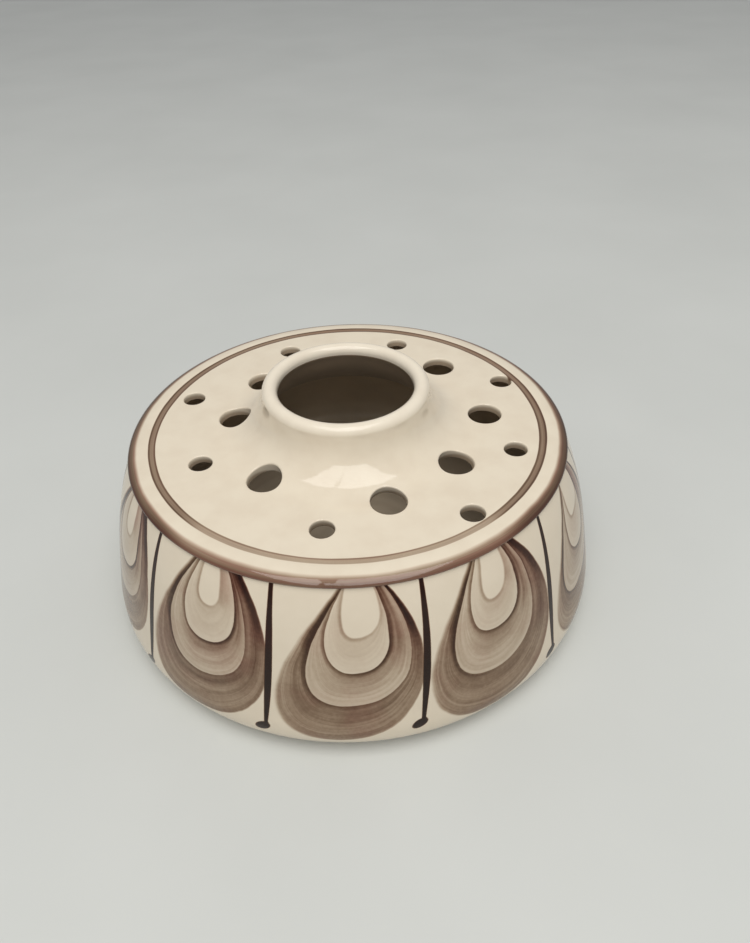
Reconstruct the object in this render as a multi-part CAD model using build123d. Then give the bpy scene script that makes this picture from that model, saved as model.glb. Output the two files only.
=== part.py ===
"""Flower frog: a low, bellied, glazed ceramic vessel with a pierced deck and a raised neck.

Millimetres, +Z up, origin at the centre of the underside of the foot ring. The vessel is one
fired piece of pottery. It is modelled as the six clay parts that a maker forms and lutes
together, each a solid of its own, meeting face to face and never overlapping.
"""
from build123d import *
from math import cos, radians, sin
import os

# ---- driving dimensions -----------------------------------------------------------------
FOOT_R_IN, FOOT_R_OUT = 69.0, 75.2      # unglazed ring that the vessel stands on
FOOT_H = 2.0                            # recess under the floor
FLOOR_TOP = 6.5                         # inside face of the floor
FLOOR_R = 68.0                          # seam between the floor slab and the side wall
WALL_T = 4.3                            # side wall
SHOULDER_R, SHOULDER_Z = 73.5, 60.2     # top of the wall, under the rim bead
DECK_BOTTOM, DECK_TOP = 60.0, 63.0      # the pierced deck
DECK_R = 66.0                           # where the deck meets the rim bead
BEAD_R = 74.1                           # outermost edge of the rim bead
FLARE_R, FLARE_FOOT_R = 27.0, 43.0      # concave flare from neck to deck, outside
THROAT_R = 22.5                         # clear radius through the neck
THROAT_Z = 76.7                         # lower end of the narrow land inside the lip
NECK_INSIDE_R = 40.0                    # where the inside of the flare meets the deck's underside
LIP_R, LIP_Z = 2.6, 77.7                # rounded lip: section radius and height of its centre
COLLAR_R = 31.0                         # seam between the deck and the neck collar
LARGE_R, SMALL_R = 6.0, 4.0             # stem holes, cut with two sizes of hole cutter

# Stem holes are punched by hand, so each has its own azimuth (degrees), radius (mm) and outward
# lean (degrees), which makes the stems fan out.
LARGE_HOLES = [(2, 47.5, 6), (44, 49.5, 8), (90, 45.0, 12), (135, 42.4, 14),
               (169.5, 39.2, 12), (226, 39.0, 14), (285, 43.0, 17), (324, 42.0, 17)]
SMALL_HOLES = [(21, 61.0, 6), (68, 57.0, 11), (112, 55.6, 11), (159, 58.5, 4),
               (200, 51.5, 8), (260, 53.0, 8), (306, 60.5, 2), (340.5, 57.5, 2)]


def turned(edges):
    """Revolve a closed run of section edges, drawn in the XZ plane, about the Z axis."""
    return revolve(Plane.XZ * make_face(Curve() + edges), Axis.Z)


def path(*points):
    """Straight section edges through the points."""
    return [Line(a, b) for a, b in zip(points, points[1:])]


# ---- foot ring: turned band under the wall, its lower edges rubbed round -------------------
foot_ring = turned(path((FOOT_R_IN, 0), (FOOT_R_OUT, 0), (FOOT_R_OUT, FOOT_H),
                        (FOOT_R_IN, FOOT_H), (FOOT_R_IN, 0)))
foot_ring = fillet(foot_ring.edges().group_by(Axis.Z)[0], 0.9)

# ---- floor: flat slab closing the bottom ------------------------------------------------------
floor = Pos(0, 0, FOOT_H) * Cylinder(FLOOR_R, FLOOR_TOP - FOOT_H,
                                     align=(Align.CENTER, Align.CENTER, Align.MIN))

# ---- body wall: leans outward from the shoulder to a low belly, then turns under -----------------
wall_out = [Bezier((SHOULDER_R, SHOULDER_Z), (81.4, 46.0), (83.8, 29.0), (86.5, 15.0)),
            Bezier((86.5, 15.0), (87.5, 9.5), (88.0, FOOT_H), (78.0, FOOT_H))]
wall_in = [Bezier((SHOULDER_R - WALL_T, SHOULDER_Z), (77.1, 45.5), (79.5, 29.0), (82.2, 15.5)),
           Bezier((82.2, 15.5), (83.1, 9.0), (81.5, FLOOR_TOP), (72.0, FLOOR_TOP))]
body_wall = turned([*wall_out, *wall_in,
                    *path((78.0, FOOT_H), (FLOOR_R, FOOT_H), (FLOOR_R, FLOOR_TOP), (72.0, FLOOR_TOP)),
                    Line((SHOULDER_R, SHOULDER_Z), (SHOULDER_R - WALL_T, SHOULDER_Z))])

# ---- rim bead: rounded moulding that overhangs the wall slightly --------------------------------
bead_top = Bezier((DECK_R, DECK_TOP - 0.1), (68.0, 63.75), (74.3, 62.6), (BEAD_R, 61.0))
bead_under = ThreePointArc(bead_top @ 1, (73.95, 60.5), (SHOULDER_R, SHOULDER_Z))
rim_bead = turned([*path((SHOULDER_R, SHOULDER_Z), (DECK_R, SHOULDER_Z), bead_top @ 0),
                   bead_top, bead_under])

# ---- deck and neck: one section, parted at a cylinder -------------------------------------------
lip_c = THROAT_R + LIP_R
lip = ThreePointArc((THROAT_R, LIP_Z), (lip_c, LIP_Z + LIP_R), (lip_c + LIP_R, LIP_Z))
flare = Bezier(lip @ 1, (FLARE_R - 0.1, 69.8), (33.9, DECK_TOP), (FLARE_FOOT_R, DECK_TOP))
flare_inside = Bezier((NECK_INSIDE_R, DECK_BOTTOM), (27.5, DECK_BOTTOM + 0.3),
                      (24.5, 73.7), (THROAT_R, THROAT_Z))
top_shell = turned([
    Line((THROAT_R, THROAT_Z), (THROAT_R, LIP_Z)), lip, flare,
    *path((FLARE_FOOT_R, DECK_TOP), (DECK_R - 1.2, DECK_TOP), (DECK_R, DECK_TOP - 0.1),
          (DECK_R, DECK_BOTTOM), (NECK_INSIDE_R, DECK_BOTTOM)),
    flare_inside])

core = Pos(0, 0, 40) * Cylinder(COLLAR_R, 60, align=(Align.CENTER, Align.CENTER, Align.MIN))
neck_collar = top_shell & core
pierced_deck = top_shell - core

# stem holes; those near the neck bite into the foot of its flare
for holes, radius in ((LARGE_HOLES, LARGE_R), (SMALL_HOLES, SMALL_R)):
    for azimuth, at, lean in holes:
        a = radians(azimuth)
        cutter = Rot(0, 0, azimuth) * Rot(0, lean, 0) * Cylinder(radius, 20)
        pierced_deck -= Pos(at * cos(a), at * sin(a), DECK_TOP) * cutter

# ---- output ---------------------------------------------------------------------------------
os.makedirs("parts", exist_ok=True)
export_step(foot_ring, "parts/foot_ring.step")
export_step(floor, "parts/floor.step")
export_step(body_wall, "parts/body_wall.step")
export_step(rim_bead, "parts/rim_bead.step")
export_step(pierced_deck, "parts/pierced_deck.step")
export_step(neck_collar, "parts/neck_collar.step")
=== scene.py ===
"""Flower frog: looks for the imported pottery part, built round its CAD frame.

A low, bellied, glazed pot with a pierced deck, a flared neck and brushed brown petals. Sizes are
written in millimetres, as a potter measures, and become metres when a mesh is made.
"""
import math
import bmesh
import bpy
import numpy as np
from mathutils import Matrix, Vector
from mathutils.geometry import delaunay_2d_cdt


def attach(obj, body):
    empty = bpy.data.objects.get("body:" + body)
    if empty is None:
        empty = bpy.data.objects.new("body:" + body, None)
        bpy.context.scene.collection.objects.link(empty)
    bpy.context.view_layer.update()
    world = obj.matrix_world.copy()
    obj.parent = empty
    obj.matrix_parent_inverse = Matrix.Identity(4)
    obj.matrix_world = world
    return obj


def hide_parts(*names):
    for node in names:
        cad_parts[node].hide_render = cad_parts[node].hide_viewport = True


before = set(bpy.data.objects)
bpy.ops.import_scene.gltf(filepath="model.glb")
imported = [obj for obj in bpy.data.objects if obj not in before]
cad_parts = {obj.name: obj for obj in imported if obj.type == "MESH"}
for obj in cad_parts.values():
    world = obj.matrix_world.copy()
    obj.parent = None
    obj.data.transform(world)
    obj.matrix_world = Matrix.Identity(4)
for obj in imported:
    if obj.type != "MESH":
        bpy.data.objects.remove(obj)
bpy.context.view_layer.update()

# ---- Foot ring ---------------------------------------------------------------------------------
# The turned band that the pot stands on: bare buff clay, cut on the wheel while leather-hard, its
# lower edges rubbed round and wiped free of glaze so that it doesn't stick to the kiln shelf.
MM = 0.001
FOOT_IN, FOOT_OUT, FOOT_H = 69.0, 75.2, 2.0
FOOT_ROUND = 0.9
CLAY = (0.57, 0.43, 0.30)
GROG = (0.30, 0.20, 0.13)
SPIN_COARSE = 360


def bezier(points, count):
    """Cubic curve: sum of (1-t)^3, 3t(1-t)^2, 3t^2(1-t), t^3 times the four points, t from 0 to 1."""
    t = np.linspace(0.0, 1.0, count)[:, None]
    a, b, c, d = np.array(points, float)
    return (1 - t) ** 3 * a + 3 * t * (1 - t) ** 2 * b + 3 * t * t * (1 - t) * c + t ** 3 * d


def arc(centre, radius, start, end, count):
    """Points at centre + radius * (cos, sin) of the angles from start to end, in degrees."""
    a = np.radians(np.linspace(start, end, count))
    return np.column_stack([centre[0] + radius * np.cos(a), centre[1] + radius * np.sin(a)])


def straight(a, b, count):
    """Points at a + (b - a) * t, t from 0 to 1."""
    return np.linspace(a, b, count)


def loop(*runs):
    """The runs of a section joined end to end, each run's last point being the next one's first."""
    return np.vstack([r[:-1] for r in runs])


def hand(p):
    """The slight unevenness of throwing, in mm: the radius swells by 0.16 cos(2a + 0.6) +
    0.10 cos(3a - 1.1) and the height by 0.12 cos(a + 2.1), both growing with height above the foot.
    Points on the axis have no azimuth and all take a = 0, so that they stay together."""
    on_axis = np.hypot(p[:, 0], p[:, 1]) < 1e-9
    a = np.where(on_axis, 0.0, np.arctan2(p[:, 1], p[:, 0]))
    lift = np.clip(p[:, 2] / 60.0, 0.0, 1.0)
    swell = (0.16 * np.cos(2 * a + 0.6) + 0.10 * np.cos(3 * a - 1.1)) * lift
    out = p.copy()
    out[:, 0] += swell * np.cos(a)
    out[:, 1] += swell * np.sin(a)
    out[:, 2] += 0.12 * np.cos(a + 2.1) * lift
    return out


def piece(name, points, faces, materials, face_slots=None, crease=40.0, **layers):
    """A mesh object from points in mm. Points that coincide are welded, the shell is turned outside
    out by the sign of its volume, and edges sharper than the crease angle stay sharp."""
    mesh = bpy.data.meshes.new(name)
    mesh.from_pydata((hand(points) * MM).tolist(), [], faces)
    for layer, values in layers.items():
        mesh.attributes.new(layer, "FLOAT", "POINT").data.foreach_set("value", values.astype(np.float32))
    for material in materials:
        mesh.materials.append(material)
    if face_slots is not None:
        mesh.polygons.foreach_set("material_index", face_slots.astype(np.int32))
    shell = bmesh.new()
    shell.from_mesh(mesh)
    bmesh.ops.remove_doubles(shell, verts=shell.verts, dist=2e-6)
    if shell.calc_volume(signed=True) < 0:
        bmesh.ops.reverse_faces(shell, faces=shell.faces)
    for face in shell.faces:
        face.smooth = True
    shell.to_mesh(mesh)
    shell.free()
    mesh.set_sharp_from_angle(angle=math.radians(crease))
    made = bpy.data.objects.new(name, mesh)
    bpy.context.scene.collection.objects.link(made)
    return made


def thrown(section, turns):
    """A section carried round the axis: point (r, z) becomes (r cos a, r sin a, z). The section is a
    closed loop, and rows and columns both wrap round."""
    rows = len(section)
    a = np.arange(turns) * 2 * math.pi / turns
    r, z = section[:, 0], section[:, 1]
    p = np.stack([np.outer(np.cos(a), r), np.outer(np.sin(a), r), np.tile(z, (turns, 1))], axis=2)
    i, j = np.meshgrid(np.arange(turns), np.arange(rows), indexing="ij")
    i2, j2 = (i + 1) % turns, (j + 1) % rows
    quads = np.stack([i * rows + j, i2 * rows + j, i2 * rows + j2, i * rows + j2], axis=2)
    return p.reshape(-1, 3), quads.reshape(-1, 4).tolist()


class Glaze:
    """A material being mixed: most methods add a node or two and give back what comes out of them."""

    def __init__(self, name):
        self.material = bpy.data.materials.new(name)
        self.material.use_nodes = True
        self.tree = self.material.node_tree
        self.shader = self.tree.nodes["Principled BSDF"]

    def add(self, kind, values=(), **settings):
        """Any node, with its inputs linked or set in order or by name; this one gives the node back."""
        node = self.tree.nodes.new(kind)
        for key, setting in settings.items():
            setattr(node, key, setting)
        for key, value in (values.items() if isinstance(values, dict) else enumerate(values)):
            if isinstance(value, bpy.types.NodeSocket):
                self.tree.links.new(value, node.inputs[key])
            elif value is not None:
                node.inputs[key].default_value = value
        return node

    def math(self, operation, *values, clamp=False):
        return self.add("ShaderNodeMath", values, operation=operation, use_clamp=clamp).outputs[0]

    def vector(self, operation, *values):
        return self.add("ShaderNodeVectorMath", values, operation=operation).outputs[0]

    def from_axis(self, x, y):
        """Distance from the pot's axis: the root of x squared plus y squared."""
        squares = self.math("ADD", self.math("MULTIPLY", x, x), self.math("MULTIPLY", y, y))
        return self.math("SQRT", squares)

    def step(self, value, low, high, to_low=0.0, to_high=1.0):
        """Smooth step from to_low at low to to_high at high."""
        return self.add("ShaderNodeMapRange", [value, low, high, to_low, to_high],
                        interpolation_type="SMOOTHSTEP").outputs[0]

    def blend(self, part, a, b):
        """A number that is a where part is 0 and b where part is 1."""
        return self.add("ShaderNodeMapRange", [part, 0.0, 1.0, a, b], clamp=True).outputs[0]

    def noise(self, where, scale, detail=3.0, rough=0.5):
        return self.add("ShaderNodeTexNoise", {"Vector": where, "Scale": scale, "Detail": detail,
                                               "Roughness": rough}).outputs["Fac"]

    def place(self):
        """Where a point is on the pot, in metres."""
        return self.add("ShaderNodeTexCoord").outputs["Object"]

    def layer(self, name):
        """One of the mesh's own point values."""
        return self.add("ShaderNodeAttribute", attribute_name=name).outputs["Fac"]

    def ramp(self, value, stops):
        """A run of colours or greys: each stop is (position, colour or grey)."""
        node = self.add("ShaderNodeValToRGB", [value])
        ramp = node.color_ramp
        while len(ramp.elements) < len(stops):
            ramp.elements.new(0.5)
        for element, (position, tone) in zip(ramp.elements, stops):
            element.position = position
        for element, (position, tone) in zip(ramp.elements, stops):
            rgb = (tone,) * 3 if isinstance(tone, (int, float)) else tone
            element.color = (*rgb, 1.0)
        return node.outputs["Color"]

    def tint(self, part, a, b, mode="MIX"):
        """Colour a mixed with, or multiplied by, colour b, as far as part says."""
        node = self.tree.nodes.new("ShaderNodeMix")
        node.data_type, node.blend_type = "RGBA", mode
        for key, value in ((0, part), (6, a), (7, b)):
            if isinstance(value, bpy.types.NodeSocket):
                self.tree.links.new(value, node.inputs[key])
            else:
                node.inputs[key].default_value = (*value, 1.0) if key else value
        return node.outputs[2]

    def bump(self, height, distance, strength=1.0, under=None):
        return self.add("ShaderNodeBump", {"Strength": strength, "Distance": distance,
                                           "Height": height, "Normal": under}).outputs[0]

    def finish(self, colour, roughness, normal=None, **constants):
        """Colour, roughness and relief joined to the shader; constants are set on its own sockets."""
        link = self.tree.links.new
        link(colour, self.shader.inputs["Base Color"])
        if isinstance(roughness, bpy.types.NodeSocket):
            link(roughness, self.shader.inputs["Roughness"])
        else:
            self.shader.inputs["Roughness"].default_value = roughness
        if normal is not None:
            link(normal, self.shader.inputs["Normal"])
        for key, value in constants.items():
            self.shader.inputs[key.replace("_", " ")].default_value = value
        return self.material


clay = Glaze("bare_buff_clay")
spot = clay.place()
grog = clay.noise(spot, 2600.0, 2.0, 0.7)
patch = clay.noise(spot, 160.0, 4.0)
clay_tone = clay.ramp(patch, [(0.25, tuple(0.86 * c for c in CLAY)), (0.75, tuple(1.1 * c for c in CLAY))])
clay_tone = clay.tint(clay.step(grog, 0.62, 0.74, 0.0, 0.45), clay_tone, GROG)
bare_clay = clay.finish(clay_tone, clay.blend(patch, 0.80, 0.95), clay.bump(grog, 0.0002, 0.7))

foot_section = loop(
    straight((FOOT_IN, FOOT_H), (FOOT_IN, FOOT_ROUND), 3),
    arc((FOOT_IN + FOOT_ROUND, FOOT_ROUND), FOOT_ROUND, 180, 270, 7),
    straight((FOOT_IN + FOOT_ROUND, 0.0), (FOOT_OUT - FOOT_ROUND, 0.0), 7),
    arc((FOOT_OUT - FOOT_ROUND, FOOT_ROUND), FOOT_ROUND, 270, 360, 7),
    straight((FOOT_OUT, FOOT_ROUND), (FOOT_OUT, FOOT_H), 3),
    straight((FOOT_OUT, FOOT_H), (FOOT_IN, FOOT_H), 4))
foot = piece("turned_foot", *thrown(foot_section, SPIN_COARSE), [bare_clay])
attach(foot, "root")
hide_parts("foot_ring")

# ---- Floor -------------------------------------------------------------------------------------
# The slab that closes the pot, thrown with the wall: inside it has the liner glaze with the
# spiral left by the fingers, and underneath it is turned flat and glazed inside the foot.
FLOOR_R, FLOOR_TOP = 68.0, 6.5
BASE_ROWS = 25
LINER = (0.52, 0.43, 0.32)
CREAM = (0.785, 0.695, 0.556)
THROWING_RINGS = 6.0


def liner_glaze(name, ring_pitch, tone=LINER):
    """Thin satin glaze over buff clay, with throwing rings of that pitch in mm."""
    g = Glaze(name)
    where = g.place()
    cloud = g.noise(where, 45.0, 4.0)
    clouded = g.ramp(cloud, [(0.3, tuple(0.88 * c for c in tone)), (0.7, tuple(1.08 * c for c in tone))])
    x, y, z = g.add("ShaderNodeSeparateXYZ", [where]).outputs
    along = g.math("MULTIPLY", g.math("ADD", g.from_axis(x, y), z), 2 * math.pi / (ring_pitch * MM))
    rings = g.math("SINE", g.math("ADD", along, g.math("MULTIPLY", cloud, 3.0)))
    return g.finish(clouded, g.blend(cloud, 0.28, 0.42), g.bump(rings, 0.00025, 0.5))


def underside_glaze():
    """Cream glaze wiped thin, so that the clay shows through in clouds."""
    g = Glaze("underside_glaze")
    where = g.place()
    cloud = g.noise(where, 60.0, 4.0)
    tone = g.ramp(cloud, [(0.35, tuple(0.5 * (a + b) for a, b in zip(CREAM, CLAY))), (0.65, CREAM)])
    return g.finish(tone, g.blend(cloud, 0.2, 0.35), g.bump(g.noise(where, 400.0), 0.0002, 0.3))


inside_glaze = liner_glaze("liner_glaze", THROWING_RINGS)
base_glaze = underside_glaze()
floor_section = loop(
    straight((0.0, FOOT_H), (FLOOR_R, FOOT_H), 24),
    straight((FLOOR_R, FOOT_H), (FLOOR_R, FLOOR_TOP), 4),
    straight((FLOOR_R, FLOOR_TOP), (0.0, FLOOR_TOP), 24),
    straight((0.0, FLOOR_TOP), (0.0, FOOT_H), 2))
floor_points, floor_faces = thrown(floor_section, SPIN_COARSE)
slab = piece("thrown_floor", floor_points, floor_faces, [base_glaze, inside_glaze],
             np.tile(np.arange(len(floor_section)) >= BASE_ROWS, SPIN_COARSE))
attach(slab, "root")
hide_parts("floor")

# ---- Side wall ---------------------------------------------------------------------------------
# The thrown wall leans outward from the shoulder to a low belly. Eleven petals are brushed round it
# in brown oxide, each of three wet U-shaped strokes laid one inside the other, with thin dark
# posts between them, each ending in a dot, all under a clear glossy glaze.
SHOULDER_R, SHOULDER_Z = 73.5, 60.2
WALL_T = 4.3
TURNS = 840
OUTER_ROWS = 98
wall_out = np.vstack([bezier([(SHOULDER_R, SHOULDER_Z), (81.4, 46.0), (83.8, 29.0), (86.5, 15.0)], 400)[:-1],
                      bezier([(86.5, 15.0), (87.5, 9.5), (88.0, FOOT_H), (78.0, FOOT_H)], 200)])


def even(run, count):
    """The same curve with its points evenly spaced along it."""
    s = np.concatenate([[0.0], np.cumsum(np.hypot(*np.diff(run, axis=0).T))])
    t = np.linspace(0.0, s[-1], count)
    return np.column_stack([np.interp(t, s, run[:, 0]), np.interp(t, s, run[:, 1])]), t


wall_skin, wall_down = even(wall_out, OUTER_ROWS)
wall_inner, _ = even(np.vstack([
    bezier([(72.0, FLOOR_TOP), (81.5, FLOOR_TOP), (83.1, 9.0), (82.2, 15.5)], 60)[:-1],
    bezier([(82.2, 15.5), (79.5, 29.0), (77.1, 45.5), (SHOULDER_R - WALL_T, SHOULDER_Z)], 100)]), 16)
wall_section = loop(
    wall_skin,
    straight((78.0, FOOT_H), (FLOOR_R, FOOT_H), 2),
    straight((FLOOR_R, FOOT_H), (FLOOR_R, FLOOR_TOP), 2),
    straight((FLOOR_R, FLOOR_TOP), (72.0, FLOOR_TOP), 2),
    wall_inner,
    straight((SHOULDER_R - WALL_T, SHOULDER_Z), (SHOULDER_R, SHOULDER_Z), 2))

# Each petal: its middle (degrees round the pot), then four outlines from the outside in. An outline
# is where it leaves the rim at the left, its left bulge, its lowest point, its right bulge and where
# it comes back to the rim: degrees from the middle, and mm down the wall from the shoulder.
PETAL_STEP = 360.0 / 11
PETALS = {
    -92.4: [(0.4, (-15.9, 38.0), (-3.0, 54.3), (15.4, 25.0), 7.4),
            (1.3, (-8.9, 27.0), (-0.9, 39.5), (12.7, 21.0), 6.8),
            (1.2, (-4.9, 15.8), (1.3, 27.2), (8.4, 15.5), 5.6),
            (0.6, (-1.3, 8.5), (1.4, 15.3), (6.9, 7.5), 5.2)],
    -124.6: [(-2.6, (-15.5, 37.0), (-3.4, 54.5), (15.6, 26.0), 7.6),
             (-1.2, (-9.3, 22.5), (-1.2, 38.5), (10.7, 20.0), 4.8),
             (-0.6, (-5.1, 14.0), (0.2, 25.6), (8.1, 13.3), 4.3),
             (0.0, (-1.7, 7.5), (1.3, 12.9), (4.1, 7.5), 2.7)],
    -59.4: [(-3.0, (-17.2, 35.0), (-2.5, 55.4), (15.3, 28.0), 6.6),
            (-1.9, (-11.3, 26.0), (-2.0, 39.4), (9.8, 21.0), 4.9),
            (-1.5, (-6.7, 14.5), (-1.2, 24.4), (5.9, 13.0), 3.4),
            (-1.3, (-3.1, 9.0), (-1.2, 14.0), (3.5, 5.5), 2.8)],
}
painter = np.random.default_rng(11)
for n in range(8):
    mould = list(PETALS.values())[n % 3]
    loose = painter.normal(0.0, 1.0, (4, 8))
    PETALS[-59.4 + PETAL_STEP * (n + 1) + 0.8 * loose[0, 0]] = [
        (top + 0.4 * k[0], (lx + 0.7 * k[1], ls + 1.2 * k[2]), (bx + 0.9 * k[3], bs + 0.8 * k[4]),
         (rx + 0.6 * k[5], rs + 1.2 * k[6]), end + 0.4 * k[7])
        for (top, (lx, ls), (bx, bs), (rx, rs), end), k in zip(mould, loose)]

# Each post: azimuth at the rim and at its foot, a slight bow, and how far down it ends.
POSTS = [(-141.0, -141.7, 0.4, 50.0), (-108.7, -110.0, 0.5, 49.5), (-76.1, -78.2, 0.5, 48.0),
         (-41.6, -43.9, -0.6, 49.0), (-10.3, -11.4, 0.4, 49.5), (22.6, 21.4, -0.4, 50.5),
         (55.2, 53.9, 0.6, 48.5), (88.1, 86.6, 0.3, 49.5), (120.6, 119.5, -0.5, 50.0),
         (153.6, 152.0, 0.5, 49.0), (186.1, 184.9, 0.3, 50.5)]

# The outlines start ABOVE the shoulder, where the bead cuts them off. A petal reaches no further than
# REACH degrees from its middle, its wide, middle and small strokes turn about points PIVOTS mm down,
# and a point that no petal or post comes near has FAR_OUTSIDE for its gap.
ABOVE = -4.0
OUTLINES = ("outer", "middle", "inner", "heart")
FAR_OUTSIDE = -9.0
REACH = 22.0
PIVOTS = (24.0, 17.0, 8.0)


def outline(top, left, low, right, end):
    """A brushed teardrop, open at the rim: from the rim a leaning run into the left bulge, two quarter
    rounds through the lowest point, and a run up to the rim, all cubic curves in degrees and mm."""
    def run_in(x, bulge, corner):
        knee = np.array([bulge[0], ABOVE + corner * (bulge[1] - ABOVE)])
        a, d = np.array([x, ABOVE]), np.array(bulge)
        return bezier([a, a + 0.66 * (knee - a), d + 0.66 * (knee - d), d], 14)

    def quarter(a, d, square):
        leave = (a[0], a[1] + square * (d[1] - a[1]))
        arrive = (d[0] + square * (a[0] - d[0]), d[1])
        return bezier([a, leave, arrive, d], 14)

    down = run_in(top - 0.4, left, 0.62)
    up = run_in(end - 1.0, right, 0.42)[::-1]
    return np.vstack([down[:-1], quarter(left, low, 0.66)[:-1], quarter(right, low, 0.60)[::-1][:-1], up])


def signed_gap(x, s, scale, curve):
    """Distance in mm from points (x degrees, s mm) to the closed curve, positive inside. scale is mm
    per degree at each point: least over the curve's sides of the distance to that side, with the
    sign by counting how many sides a level line to the right crosses."""
    a, b = curve, np.roll(curve, -1, axis=0)
    px = (a[None, :, 0] - x[:, None]) * scale[:, None]
    py = a[None, :, 1] - s[:, None]
    qx = (b[None, :, 0] - x[:, None]) * scale[:, None]
    qy = b[None, :, 1] - s[:, None]
    ex, ey = qx - px, qy - py
    t = np.clip(-(px * ex + py * ey) / np.maximum(ex * ex + ey * ey, 1e-9), 0.0, 1.0)
    gap = np.sqrt(((px + t * ex) ** 2 + (py + t * ey) ** 2).min(axis=1))
    cross = (py > 0) != (qy > 0)
    hit = cross & (px - py * ex / np.where(cross, ey, 1.0) > 0)
    return np.where(hit.sum(axis=1) % 2 == 1, gap, -gap)


def petal_layers(azimuth, s, scale):
    """For every point: the gap to each of the four outlines of the petal it lies in, how far it is
    round that petal's strokes (0 at the rim on the left, a half at the bottom, 1 at the rim on the
    right, turning about the wide, middle or small stroke's pivot), and the petal's own number."""
    rows = {name: np.full(len(s), FAR_OUTSIDE) for name in OUTLINES}
    rows["sweep"] = np.full(len(s), 0.5)
    rows["brush"] = np.zeros(len(s))
    for number, (centre, lines) in enumerate(PETALS.items()):
        x = (azimuth - centre + 180.0) % 360.0 - 180.0
        near = np.flatnonzero(np.abs(x) < REACH)
        gaps = [signed_gap(x[near], s[near], scale[near], outline(*line)) for line in lines]
        best = gaps[0] > rows["outer"][near]
        eye = 0.5 * (lines[3][1][0] + lines[3][3][0])
        pivot = np.where(gaps[2] > 0, PIVOTS[2], np.where(gaps[1] > 0, PIVOTS[1], PIVOTS[0]))
        turn = np.arctan2((x[near] - eye) * scale[near], pivot - s[near])
        values = dict(zip(OUTLINES, gaps))
        values["sweep"] = (-turn / (2 * math.pi)) % 1.0
        values["brush"] = np.full(len(near), float(number))
        for name, value in values.items():
            rows[name][near[best]] = value[best]
    return rows


def post_layer(azimuth, s, scale):
    """Gap in mm inside the nearest post or its dot: the half width swells by a sine from 0.68 to
    1.2 mm and thins again, and the dot is a leaning oval 5.6 mm long."""
    ink = np.full(len(s), FAR_OUTSIDE)
    for top, foot_at, bow, end in POSTS:
        t = np.clip(s / end, 0.0, 1.0)
        line = top + (foot_at - top) * t + bow * np.sin(math.pi * t)
        across = ((azimuth - line + 180.0) % 360.0 - 180.0) * scale
        half = 0.68 + 0.52 * np.sin(math.pi * t ** 1.2)
        stem = np.minimum(half - np.abs(across), end + 1.0 - s)
        dx, dy = across + 1.2, s - (end + 1.9)
        along, over = 0.86 * dx - 0.5 * dy, 0.5 * dx + 0.86 * dy
        dot = 1.75 - np.hypot(along / 1.6, over)
        ink = np.maximum(ink, np.maximum(stem, dot))
    return ink


azimuth_grid = np.repeat(np.arange(TURNS) * 360.0 / TURNS, OUTER_ROWS)
down_grid = np.tile(wall_down, TURNS)
mm_per_degree = np.tile(wall_skin[:, 0], TURNS) * math.pi / 180.0
layers = petal_layers(azimuth_grid, down_grid, mm_per_degree)
layers["ink"] = post_layer(azimuth_grid, down_grid, mm_per_degree)
rows_all = len(wall_section)
outer_index = (np.arange(TURNS)[:, None] * rows_all + np.arange(OUTER_ROWS)[None, :]).ravel()
wall_layers = {}
for name, values in layers.items():
    whole = np.full(TURNS * rows_all, 0.0 if name in ("sweep", "brush") else FAR_OUTSIDE)
    whole[outer_index] = values
    wall_layers[name] = whole

# Oxide washed over cream lets this much of each colour through at full strength; a thicker wash
# multiplies it again, so a stroke of depth d shows cream times WASH to the power d.
WASH = (0.375, 0.298, 0.245)
PINK_WASH = (0.415, 0.285, 0.250)
# About 5% darker than the deck's cream: partly a slightly pinker cream, partly painted shade on the upright
# wall.
SHADED_WALL_CREAM = (0.745, 0.655, 0.525)
DEEPEST = 4.4
LOADED = 3.35


def wash_stops(ground, wash):
    """Colours of the ground under washes from none to the deepest, as ramp stops."""
    depths = (0.0, 0.25, 0.55, 0.9, 1.3, 1.9, 2.8, DEEPEST)
    return [(d / DEEPEST, tuple(g * w ** d for g, w in zip(ground, wash))) for d in depths]


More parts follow.
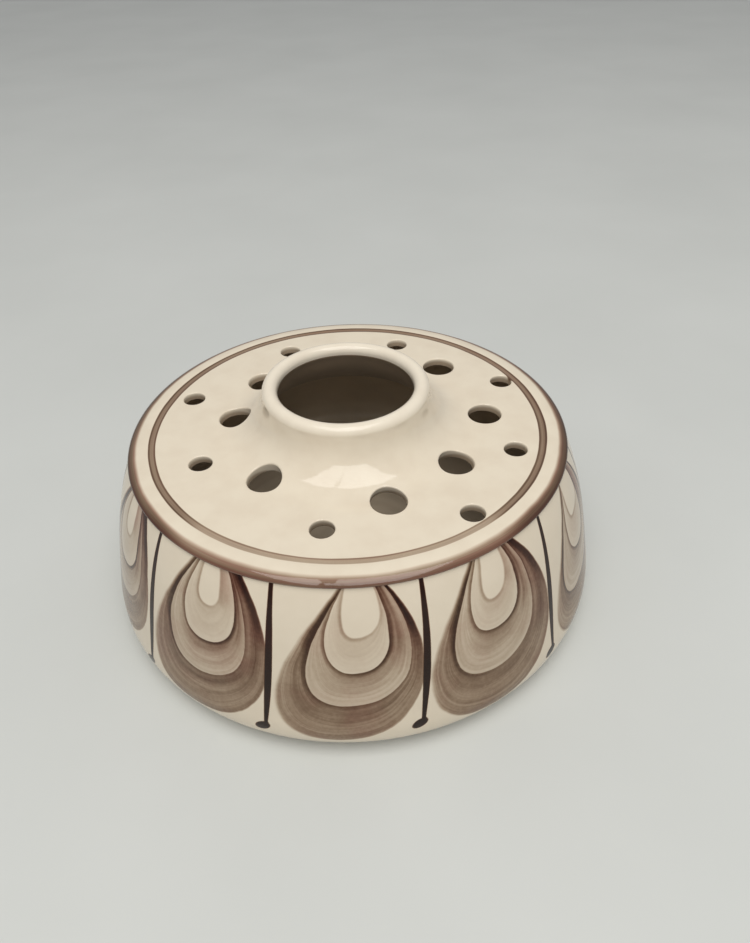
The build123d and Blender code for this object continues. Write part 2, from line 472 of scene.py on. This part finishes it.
def petal_glaze():
    """Cream ground with the petals and posts brushed on it, then clear glaze."""
    g = Glaze("petal_glaze")
    where = g.place()
    wobble = g.math("MULTIPLY", g.math("SUBTRACT", g.noise(where, 110.0, 2.0), 0.5), 0.9)
    outer, middle, inner, heart = (g.math("ADD", g.layer(name), wobble) for name in OUTLINES)
    sweep, brush = g.layer("sweep"), g.math("MULTIPLY", g.layer("brush"), 7.3)
    cloud = g.noise(where, 75.0, 3.0)
    fine = g.noise(where, 900.0, 2.0)

    def across(inside, outside):
        """0 at a stroke's inner edge, 1 at its outer edge."""
        inside = g.math("MAXIMUM", g.math("MULTIPLY", inside, -1.0), 0.0)
        outside = g.math("MAXIMUM", outside, 0.0)
        return g.math("DIVIDE", inside, g.math("ADD", g.math("ADD", inside, outside), 0.01))

    def bristles(q, scale, stretch, depth):
        """Streaks that follow a stroke, each side of 0, from the uneven load of the brush."""
        over, along = g.math("MULTIPLY", q, scale), g.math("MULTIPLY", sweep, stretch)
        hairs = g.noise(g.add("ShaderNodeCombineXYZ", [over, along, brush]).outputs[0], 1.0, 3.0, 0.65)
        return g.math("MULTIPLY", g.math("SUBTRACT", hairs, 0.5), depth)

    def stroke(q, left, bottom, right):
        """Depth of wash across a stroke on its left side, round the bottom and up its right side."""
        mixed = g.blend(g.step(sweep, 0.30, 0.46), g.ramp(q, left), g.ramp(q, bottom))
        return g.math("MULTIPLY", g.blend(g.step(sweep, 0.60, 0.76), mixed, g.ramp(q, right)), LOADED)

    def pool(gap, width, strength):
        """Wet edge where the brush let its oxide settle: darkest on the line, gone a width outside it."""
        soft = g.step(gap, g.math("MULTIPLY", width, -1.0), 0.0)
        soft = g.math("MULTIPLY", soft, g.step(gap, 0.0, 0.55, 1.0, 0.0))
        return g.math("MULTIPLY", g.math("MULTIPLY", soft, strength), LOADED)

    qa, qb, qc = across(middle, outer), across(inner, middle), across(heart, inner)
    wide = stroke(qa, [(0, .42), (.2, .38), (.42, .40), (.55, .27), (.7, .24), (.86, .22), (1, .15)],
                  [(0, .36), (.18, .40), (.4, .34), (.6, .32), (.74, .27), (.88, .36), (1, .30)],
                  [(0, .34), (.12, .24), (.28, .42), (.5, .50), (.8, .42), (1, .38)])
    mid = stroke(qb, [(0, .30), (.12, .18), (.5, .14), (1, .11)],
                 [(0, .42), (.1, .32), (.3, .21), (.6, .15), (1, .09)],
                 [(0, .48), (.15, .42), (.3, .27), (.46, .42), (.6, .30), (.78, .22), (1, .2)])
    small = stroke(qc, [(0, .14), (.2, .08), (1, .04)],
                   [(0, .15), (.15, .10), (.5, .08), (1, .04)],
                   [(0, .22), (.2, .20), (.6, .13), (1, .10)])
    wide = g.math("ADD", wide, g.math("ADD", bristles(qa, 8.0, 2.5, 1.6), bristles(qa, 24.0, 4.0, 0.55)))
    mid = g.math("ADD", mid, g.math("ADD", bristles(qb, 6.0, 2.5, 0.8), bristles(qb, 20.0, 4.0, 0.25)))
    small = g.math("ADD", small, bristles(qc, 7.0, 2.5, 0.3))

    left_top = g.step(sweep, 0.10, 0.32, 1.0, 0.0)
    right_top = g.step(sweep, 0.74, 0.90)
    round_middle = [(0, .60), (.22, .44), (.4, .20), (.55, .10), (.7, .14), (.82, .30), (1, .34)]
    round_inner = [(0, .30), (.25, .24), (.42, .20), (.55, .36), (.68, .44), (.8, .32), (1, .3)]
    round_heart = [(0, .10), (.3, .12), (.5, .06), (.6, .01), (1, 0)]
    line_a = pool(middle, g.math("ADD", g.math("MULTIPLY", left_top, 2.4), 1.6), g.ramp(sweep, round_middle))
    line_b = pool(inner, g.math("ADD", g.math("MULTIPLY", right_top, 0.8), 1.5), g.ramp(sweep, round_inner))
    line_c = pool(heart, 1.5, g.ramp(sweep, round_heart))
    edge = g.math("MULTIPLY", g.step(outer, 3.4, 1.0), g.math("MULTIPLY", right_top, 2.1))
    wide = g.math("ADD", g.math("ADD", wide, line_a), edge)
    mid = g.math("ADD", mid, line_b)
    small = g.math("ADD", small, line_c)

    depth = g.blend(g.step(middle, -0.15, 0.2), wide, mid)
    depth = g.blend(g.step(inner, -0.15, 0.2), depth, small)
    depth = g.blend(g.step(heart, -0.3, 0.5), depth, 0.02)
    soft_side = g.step(sweep, 0.33, 0.45, 1.9, 0.7)
    depth = g.math("MULTIPLY", depth, g.step(outer, 0.0, soft_side))
    depth = g.math("MULTIPLY", depth, g.blend(cloud, 0.62, 1.42))
    depth = g.math("MULTIPLY", depth, g.blend(fine, 0.80, 1.20))
    post = g.step(g.math("ADD", g.layer("ink"), g.math("MULTIPLY", wobble, 0.25)), -0.1, 0.3)
    depth = g.blend(post, depth, g.blend(fine, 3.9, 4.4))
    depth = g.math("DIVIDE", g.math("MAXIMUM", depth, 0.0), DEEPEST)
    blush = g.math("ADD", g.step(sweep, 0.62, 0.85, 0.0, 0.6), g.step(cloud, 0.45, 0.7, 0.0, 0.5), clamp=True)
    tone = g.tint(blush, g.ramp(depth, wash_stops(SHADED_WALL_CREAM, WASH)),
                  g.ramp(depth, wash_stops(SHADED_WALL_CREAM, PINK_WASH)))
    mottle = g.noise(where, 130.0, 3.0)
    tone = g.tint(1.0, tone, g.ramp(mottle, [(0.3, (.965, .96, .95)), (0.7, (1.0, 1.0, 1.0))]), "MULTIPLY")
    skin = g.bump(g.noise(where, 210.0, 2.0), 0.0004, 0.12)
    return g.finish(tone, g.blend(mottle, 0.13, 0.2), skin, Specular_IOR_Level=0.27)


painted = petal_glaze()
wall_points, wall_faces = thrown(wall_section, TURNS)
wall_rows = np.arange(rows_all)
wall = piece("painted_wall", wall_points, wall_faces, [painted, inside_glaze],
             np.tile(wall_rows >= OUTER_ROWS, TURNS), **wall_layers)
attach(wall, "root")
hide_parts("body_wall")

# ---- Rim bead ----------------------------------------------------------------------------------
# The rounded moulding that joins deck to wall: cream on top, with a thin brown line in its inner
# groove and a brown band over its edge, both put on with a loaded brush while the pot turned.
DECK_R, DECK_TOP, DECK_UNDER = 66.0, 63.0, 60.0
LINE_HALF = 1.05
# Glaze blisters on the bead's front: azimuth, height, spread and swell in degrees and mm; each lifts
# the surface up and outward by swell times exp(-distance^2 / (2 spread^2)).
BLISTERS = [(-96.6, 62.0, 0.75, 0.42), (-95.0, 61.9, 0.55, 0.3)]
BLISTER_R = 73.6
BAND_FROM, BAND_FULL = 70.7, 72.9
# Painted shade down the deck's holes: a dark brown that comes in between these heights in mm.
HOLE_SHADE_TONE, HOLE_SHADE_FROM, HOLE_SHADE_FULL = (0.33, 0.245, 0.165), 62.6, 61.2
# Painted highlight on the neck: its cream turns paler between these heights in mm, up to the lip.
LIP_HIGHLIGHT_CREAM, LIP_HIGHLIGHT_FROM, LIP_HIGHLIGHT_FULL = (0.85, 0.765, 0.63), 73.0, 79.0
IRON = (0.16, 0.10, 0.06)


def cream_glaze(name, painted_rim, hole_shade=False):
    """Glossy cream with a soft mottle and a few iron specks. Round the rim it has the brown line and
    band as well, each a wash whose depth drifts as the brush empties. On the pierced deck it turns dark
    brown below the top face, as painted shade down the holes. The neck has no rim, and its cream is
    painted paler towards the top of the lip, as a painted highlight."""
    g = Glaze(name)
    where = g.place()
    x, y, z = g.add("ShaderNodeSeparateXYZ", [where]).outputs
    mottle = g.noise(where, 110.0, 4.0)
    if painted_rim:
        radius = g.math("MULTIPLY", g.from_axis(x, y), 1.0 / MM)
        round_pot = g.vector("NORMALIZE", g.vector("MULTIPLY", where, (1.0, 1.0, 0.0)))
        drift = g.noise(round_pot, 1.6, 3.0)
        outward = g.add("ShaderNodeCombineXYZ", [0.0, 0.0, g.math("MULTIPLY", radius, 1.7)]).outputs[0]
        streak_at = g.vector("ADD", g.vector("MULTIPLY", round_pot, (1.6, 1.6, 0.0)), outward)
        streak = g.noise(streak_at, 1.0, 3.0, 0.7)
        front = g.add("ShaderNodeVectorMath", [round_pot, (-0.05, -1.0, 0.0)], operation="DOT_PRODUCT")
        light_part = g.step(front.outputs["Value"], 0.66, 0.80)
        wander = g.math("MULTIPLY", g.math("SUBTRACT", g.noise(round_pot, 5.0, 2.0), 0.5), 0.8)
        off = g.math("ADD", g.math("SUBTRACT", radius, DECK_R), g.math("MULTIPLY", wander, 0.4))
        half = g.math("ADD", g.math("MULTIPLY", g.math("SUBTRACT", drift, 0.5), 0.5), LINE_HALF)
        line = g.step(g.math("ABSOLUTE", off), half, g.math("ADD", half, 0.3), 1.0, 0.0)
        inner_edge = g.math("MULTIPLY", g.step(off, -0.45, -0.9), g.blend(light_part, 0.75, 0.5))
        outer_edge = g.math("MULTIPLY", g.step(off, 0.4, 0.9), g.blend(light_part, 1.0, 0.0))
        strength = g.math("ADD", g.math("ADD", inner_edge, outer_edge), g.blend(light_part, 1.15, 0.65))
        strength = g.math("MULTIPLY", strength, g.blend(streak, 0.7, 1.3))
        line = g.math("MULTIPLY", line, strength)
        reach = g.math("ADD", radius, wander)
        band = g.math("MULTIPLY", g.step(reach, BAND_FROM, BAND_FULL), g.blend(streak, 0.8, 1.9))
        band = g.math("MULTIPLY", band, g.blend(light_part, 1.5, 0.9))
        edge = g.math("MULTIPLY", g.step(radius, 72.9, 73.7), 0.5)
        depth = g.math("MAXIMUM", line, g.math("ADD", band, edge))
        depth = g.math("DIVIDE", g.math("MULTIPLY", depth, g.blend(drift, 0.8, 1.2)), DEEPEST)
        flush = g.math("MULTIPLY", g.step(streak, 0.4, 0.65), g.step(radius, 69.0, 71.0, 0.45, 1.0))
        tone = g.tint(flush, g.ramp(depth, wash_stops(CREAM, WASH)),
                      g.ramp(depth, wash_stops(CREAM, PINK_WASH)))
    else:
        # Painted highlight: paler cream towards the top of the neck's lip.
        tone = g.ramp(g.step(z, LIP_HIGHLIGHT_FROM * MM, LIP_HIGHLIGHT_FULL * MM), [(0.0, CREAM), (1.0, LIP_HIGHLIGHT_CREAM)])
    # Painted shade: the deck turns dark brown below its top face, down its holes.
    if hole_shade:
        tone = g.tint(g.step(z, HOLE_SHADE_FROM * MM, HOLE_SHADE_FULL * MM, 0.0, 0.82), tone, HOLE_SHADE_TONE)
    tone = g.tint(1.0, tone, g.ramp(mottle, [(0.32, (.95, .935, .925)), (0.62, (1.0, 1.0, 1.0))]), "MULTIPLY")
    cells = g.add("ShaderNodeTexVoronoi", {"Vector": where, "Scale": 62.0}, feature="F1")
    speck = g.step(cells.outputs["Distance"], 0.012, 0.03, 1.0, 0.0)
    rare = g.math("GREATER_THAN", g.add("ShaderNodeSeparateColor", [cells.outputs["Color"]]).outputs[0], 0.72)
    tone = g.tint(g.math("MULTIPLY", g.math("MULTIPLY", speck, rare), 0.75), tone, IRON)
    skin = g.bump(g.noise(where, 190.0, 2.0), 0.0004, 0.14)
    return g.finish(tone, g.blend(mottle, 0.05, 0.09), skin, Specular_IOR_Level=0.5)


rim_glaze = cream_glaze("banded_rim_glaze", True)
bead_section = loop(
    bezier([(DECK_R, DECK_TOP - 0.1), (68.0, 63.75), (74.3, 62.6), (74.1, 61.0)], 40),
    bezier([(74.1, 61.0), (74.07, 60.76), (73.95, 60.45), (SHOULDER_R, SHOULDER_Z)], 8),
    straight((SHOULDER_R, SHOULDER_Z), (DECK_R, SHOULDER_Z), 8),
    straight((DECK_R, SHOULDER_Z), (DECK_R, DECK_TOP - 0.1), 4))
bead_points, bead_faces = thrown(bead_section, TURNS)
for azimuth, height, size, swell in BLISTERS:
    turn = math.radians(azimuth)
    middle = np.array([BLISTER_R * math.cos(turn), BLISTER_R * math.sin(turn), height])
    rise = swell * np.exp(-((bead_points - middle) ** 2).sum(axis=1) / (2 * size ** 2))
    outward = bead_points * (1.0, 1.0, 0.0) / np.hypot(bead_points[:, 0], bead_points[:, 1])[:, None]
    bead_points += rise[:, None] * (0.8 * outward + (0.0, 0.0, 0.6))
bead = piece("rolled_rim_bead", bead_points, bead_faces, [rim_glaze])
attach(bead, "root")
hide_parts("rim_bead")

# ---- Pierced deck ------------------------------------------------------------------------------
# The thrown lid of the pot: a flat annulus that sweeps up into the neck. Sixteen stem holes are
# cut by hand with two sizes of hole cutter while the clay is soft, and the glaze rounds their mouths.
# Each hole: azimuth, distance of its middle from the axis, and outward lean, in degrees and mm.
LARGE_HOLES = [(2, 47.5, 6), (44, 49.5, 8), (90, 45.0, 12), (135, 42.4, 14),
               (169.5, 39.2, 12), (226, 39.0, 14), (285, 43.0, 17), (324, 42.0, 17)]
SMALL_HOLES = [(21, 61.0, 6), (68, 57.0, 11), (112, 55.6, 11), (159, 58.5, 4),
               (200, 51.5, 8), (260, 53.0, 8), (306, 60.5, 2), (340.5, 57.5, 2)]
LARGE_R, SMALL_R = 5.7, 3.8
SEAM_R = 31.0
MOUTH = 0.5
MOUTH_RINGS = (0.0, 0.45, 1.1)
CLEAR_OF_HOLE = 1.7
AROUND = 84
POINT_GAP = 1.25
SEAM_ROWS = 4
DECK_EDGE, EDGE_FALL = 64.8, 0.1
THROAT_R, THROAT_Z, LIP_R, LIP_Z = 22.5, 76.7, 2.6, 77.7
flare_curve = bezier([(27.7, LIP_Z), (26.9, 69.8), (33.9, DECK_TOP), (43.0, DECK_TOP)], 600)
inside_curve = bezier([(THROAT_R, THROAT_Z), (24.5, 73.7), (27.5, DECK_UNDER + 0.3), (40.0, DECK_UNDER)], 600)


def top_height(r):
    """Upper face: the flare's curve to its end, level to the deck's edge, then a slight straight fall
    to the bead."""
    outer_part = flare_curve[flare_curve[:, 0] > 29.0]
    level = np.interp(r, outer_part[:, 0], outer_part[:, 1])
    return np.where(r > DECK_EDGE, DECK_TOP - EDGE_FALL * (r - DECK_EDGE) / (DECK_R - DECK_EDGE), level)


def under_height(r):
    """Lower face: the inside of the flare to its end, then level."""
    return np.interp(r, inside_curve[:, 0], inside_curve[:, 1])


def circle(radius, count):
    """Points on a circle about the pot's axis, in plan."""
    a = np.arange(count) * 2 * math.pi / count
    return np.column_stack([radius * np.cos(a), radius * np.sin(a)])


def cutter(azimuth, at, lean, size):
    """A hole cutter: the point of its axis at deck height, its direction, leaning outward, two
    directions square to it, and its radius."""
    a, b = math.radians(azimuth), math.radians(lean)
    out, side = np.array([math.cos(a), math.sin(a), 0.0]), np.array([-math.sin(a), math.cos(a), 0.0])
    axis = math.sin(b) * out + math.cos(b) * np.array([0.0, 0.0, 1.0])
    return at * out + np.array([0.0, 0.0, DECK_TOP]), axis, np.cross(side, axis), side, size


def on_surface(tool, radius, height):
    """Where lines along the cutter's axis, at that radius from it, meet a surface: points centre +
    radius * (cos, sin) + h * axis, with h found by repeated correction. radius may be an array of
    rows, and the result has one column of points per direction round the hole."""
    centre, axis, u, v, _ = tool
    a = np.arange(AROUND) * 2 * math.pi / AROUND
    base = centre + np.outer(np.cos(a), u)[:, None] * np.reshape(radius, (1, -1, 1)) \
        + np.outer(np.sin(a), v)[:, None] * np.reshape(radius, (1, -1, 1))
    h = np.zeros(base.shape[:2])
    for _ in range(12):
        p = base + h[..., None] * axis
        h += (height(np.hypot(p[..., 0], p[..., 1])) - p[..., 2]) / axis[2]
    return base, h


def off_axis(tool, points):
    """Distance of points from the cutter's axis."""
    centre, axis, *_ = tool
    rel = points - centre
    return np.linalg.norm(rel - (rel @ axis)[..., None] * axis, axis=-1)


tools = [cutter(*hole, LARGE_R) for hole in LARGE_HOLES]
tools += [cutter(*hole, SMALL_R) for hole in SMALL_HOLES]
RINGS = np.concatenate([SEAM_R + np.array([0.0, 0.06, 0.18, 0.42, 0.9]), np.arange(33.0, 64.6, POINT_GAP),
                        [DECK_EDGE, 65.4, DECK_R]])


def side_count(radius):
    """How many points stand on a ring of that radius: its length over the gap, to the nearest 12."""
    return int(round(2 * math.pi * radius / POINT_GAP / 12) * 12)


def sheet(height):
    """One face of the deck: rings of points about the pot's axis, and three rings round each hole, the
    first being the edge of its rounded mouth, joined into even triangles and lifted to the face's
    height. Triangles inside the seam circle or over a hole are left out."""
    def lift(flat):
        return np.column_stack([flat, height(np.hypot(*flat.T))])

    rings = [circle(r, side_count(r)) for r in RINGS]
    ends = np.vstack([rings[0], rings[-1]])
    field = np.vstack(rings[1:-1])
    clear = np.ones(len(field), bool)
    around = []
    for tool in tools:
        clear &= off_axis(tool, lift(field)) > tool[4] + MOUTH + CLEAR_OF_HOLE
        for extra in MOUTH_RINGS:
            base, h = on_surface(tool, tool[4] + MOUTH + extra, height)
            ring = (base + h[..., None] * tool[1])[:, 0, :2]
            far = np.hypot(*ring.T)
            around.append(ring[(far > SEAM_R + 0.1) & (far < DECK_R - 0.1)] if extra else ring)
    flat, _, triangles, *_ = delaunay_2d_cdt([Vector(p) for p in np.vstack([ends, field[clear], *around])],
                                             [], [], 0, 1e-6)
    points = lift(np.array([tuple(v) for v in flat]))
    triangles = np.array(triangles)
    middle = points[triangles].mean(axis=1)
    keep = np.hypot(middle[:, 0], middle[:, 1]) > SEAM_R - 0.001
    for tool in tools:
        keep &= off_axis(tool, middle) > tool[4] + MOUTH - 0.004
    return points, triangles[keep]


def grid_faces(columns, rows, first):
    """Quads of a grid whose columns wrap round, numbered from first."""
    i, j = np.meshgrid(np.arange(columns), np.arange(rows - 1), indexing="ij")
    i2 = (i + 1) % columns
    quads = np.stack([i * rows + j, i2 * rows + j, i2 * rows + j + 1, i * rows + j + 1], axis=2) + first
    return quads.reshape(-1, 4).tolist()


upper, upper_faces = sheet(top_height)
lower, lower_faces = sheet(under_height)
deck_points = [upper, lower]
deck_faces = upper_faces.tolist() + (lower_faces[:, ::-1] + len(upper)).tolist()
offset = len(upper) + len(lower)
for tool in tools:
    # A hole's own skin: a quarter round down from the upper face, a straight run along the cutter, and
    # a quarter round out to the lower face.
    turn = np.radians(np.linspace(0.0, 90.0, 8))
    reach = tool[4] + MOUTH * (1 - np.sin(turn))
    top_base, top_h = on_surface(tool, reach, top_height)
    low_base, low_h = on_surface(tool, reach[::-1], under_height)
    top_h = top_h - MOUTH * (1 - np.cos(turn))
    low_h = low_h + MOUTH * (1 - np.cos(turn[::-1]))
    share = np.linspace(0.0, 1.0, 5)[1:-1]
    wall_h = top_h[:, -1:] + (low_h[:, :1] - top_h[:, -1:]) * share
    base = np.concatenate([top_base, np.repeat(top_base[:, -1:], 3, axis=1), low_base], axis=1)
    skin_h = np.concatenate([top_h, wall_h, low_h], axis=1)
    deck_points.append((base + skin_h[..., None] * tool[1]).reshape(-1, 3))
    deck_faces += grid_faces(AROUND, skin_h.shape[1], offset)
    offset += skin_h.size
for radius in (SEAM_R, DECK_R):
    ring = circle(radius, side_count(radius))
    rise = np.linspace(float(under_height(radius)), float(top_height(radius)), SEAM_ROWS)
    side = np.column_stack([np.repeat(ring, SEAM_ROWS, axis=0), np.tile(rise, len(ring))])
    deck_points.append(side)
    faces = grid_faces(len(ring), SEAM_ROWS, offset)
    deck_faces += faces if radius == DECK_R else [f[::-1] for f in faces]
    offset += len(side)
deck_glaze = cream_glaze("pierced_deck_glaze", True, True)
deck = piece("pierced_deck_plate", np.vstack(deck_points), deck_faces, [deck_glaze])
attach(deck, "root")
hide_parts("pierced_deck")

# ---- Neck collar -------------------------------------------------------------------------------
# The short open neck, pulled up from the deck on the wheel and finished with a rolled lip; a bunch
# of stems goes through it, and its outside flares smoothly into the deck. The cream glaze stops
# just inside the lip, and below that the throat has the liner glaze in a much darker tone, as
# painted shade under the lip.
# Painted shade: the throat's liner takes this much darker tone.
THROAT_SHADE_TONE = (0.25, 0.185, 0.125)
NECK_TURNS = 480
CREAM_END = THROAT_Z + 0.45
LAND_ROWS, CREAM_ROWS = 2, 2


def on_flare(r):
    """The point of the neck's outside at radius r, on the deck's upper face."""
    return r, float(top_height(r))


flare_run, _ = even(flare_curve[flare_curve[:, 0] <= SEAM_R + 1e-9], 40)
flare_run = np.vstack([flare_run[flare_run[:, 0] < SEAM_R - 0.5],
                       [on_flare(SEAM_R - short) for short in (0.4, 0.15, 0.05, 0.0)]])
inner_run, _ = even(inside_curve[inside_curve[:, 0] <= SEAM_R], 30)
inner_run[-1] = (SEAM_R, float(under_height(SEAM_R)))
neck_section = loop(
    arc((THROAT_R + LIP_R, LIP_Z), LIP_R, 180, 0, 28),
    flare_run,
    straight(flare_run[-1], inner_run[-1], 4),
    inner_run[::-1],
    straight((THROAT_R, THROAT_Z), (THROAT_R, CREAM_END), LAND_ROWS + 1),
    straight((THROAT_R, CREAM_END), (THROAT_R, LIP_Z), CREAM_ROWS + 1))
neck_glaze = cream_glaze("neck_glaze", False)
# Painted shade: the liner glaze in the throat in a much darker tone.
throat_shade_glaze = liner_glaze("throat_shaded_liner", THROWING_RINGS, THROAT_SHADE_TONE)
cream_from = len(neck_section) - CREAM_ROWS
row = np.arange(len(neck_section))
below_lip = (row >= cream_from - LAND_ROWS - len(inner_run) + 1) & (row < cream_from)
neck = piece("flared_neck", *thrown(neck_section, NECK_TURNS), [neck_glaze, throat_shade_glaze],
             np.tile(below_lip, NECK_TURNS))
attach(neck, "root")
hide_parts("neck_collar")

# ---- Studio ------------------------------------------------------------------------------------
# A plain pale table top, a large soft roof light of two panes above and in front, an even pale
# surround, and a close camera that looks down on the pot from the front.
table = Glaze("pale_table")
at = table.place()
table_tone = table.ramp(table.noise(at, 9.0, 4.0), [(0.3, (0.605, 0.618, 0.595)), (0.7, (0.64, 0.653, 0.63))])
table_top = table.finish(table_tone, 0.55, table.bump(table.noise(at, 60.0, 3.0), 0.001, 0.08))
SPAN = 9.0
ground = bpy.data.meshes.new("table_top")
corners = [(-SPAN, -SPAN, 0.0), (SPAN, -SPAN, 0.0), (SPAN, SPAN, 0.0), (-SPAN, SPAN, 0.0)]
ground.from_pydata(corners, [], [(0, 1, 2, 3)])
ground.materials.append(table_top)
table_object = bpy.data.objects.new("table_top", ground)
bpy.context.scene.collection.objects.link(table_object)

PANE_H, PANE_FROM, PANE_TO = 1.55, -1.80, 0.05
PANES = [(-0.70, -0.205), (-0.17, 0.66)]
PANE_GLOW = 10.1
for west, east in PANES:
    pane = bpy.data.lights.new("overhead_pane", "AREA")
    pane.shape = "RECTANGLE"
    pane.size, pane.size_y = east - west, PANE_TO - PANE_FROM
    pane.energy = PANE_GLOW * pane.size * pane.size_y
    pane.color = (1.0, 0.985, 0.95)
    pane_object = bpy.data.objects.new("overhead_pane", pane)
    pane_object.location = ((west + east) / 2, (PANE_FROM + PANE_TO) / 2, PANE_H)
    bpy.context.scene.collection.objects.link(pane_object)

world = bpy.data.worlds.new("pale_surround")
world.use_nodes = True
bpy.context.scene.world = world
nodes, links = world.node_tree.nodes, world.node_tree.links
sky_at = nodes.new("ShaderNodeTexCoord")
sky_parts = nodes.new("ShaderNodeSeparateXYZ")
sky_ramp = nodes.new("ShaderNodeValToRGB")
links.new(sky_at.outputs["Generated"], sky_parts.inputs[0])
links.new(sky_parts.outputs[2], sky_ramp.inputs[0])
sky_ramp.color_ramp.elements[0].color = (0.31, 0.31, 0.31, 1.0)
sky_ramp.color_ramp.elements[1].color = (0.47, 0.475, 0.48, 1.0)
links.new(sky_ramp.outputs[0], nodes["Background"].inputs["Color"])
nodes["Background"].inputs["Strength"].default_value = 1.0

EYE = Vector((0.0, -0.219, 0.2182))
PITCH, PAN, ROLL = math.radians(-38.91), math.radians(2.32), math.radians(-1.84)
ahead = Vector((math.sin(PAN) * math.cos(PITCH), math.cos(PAN) * math.cos(PITCH), math.sin(PITCH)))
level_right = Vector((math.cos(PAN), -math.sin(PAN), 0.0))
level_up = level_right.cross(ahead)
right = level_right * math.cos(ROLL) + level_up * math.sin(ROLL)
up = -level_right * math.sin(ROLL) + level_up * math.cos(ROLL)
lens = bpy.data.cameras.new("camera")
lens.sensor_fit = "HORIZONTAL"
lens.sensor_width, lens.lens = 36.0, 37.44
lens.clip_start = 0.01
camera = bpy.data.objects.new("camera", lens)
camera.matrix_world = Matrix(((right.x, up.x, -ahead.x, EYE.x), (right.y, up.y, -ahead.y, EYE.y),
                              (right.z, up.z, -ahead.z, EYE.z), (0.0, 0.0, 0.0, 1.0)))
bpy.context.scene.collection.objects.link(camera)
bpy.context.scene.camera = camera
bpy.context.scene.view_settings.view_transform = "Standard"
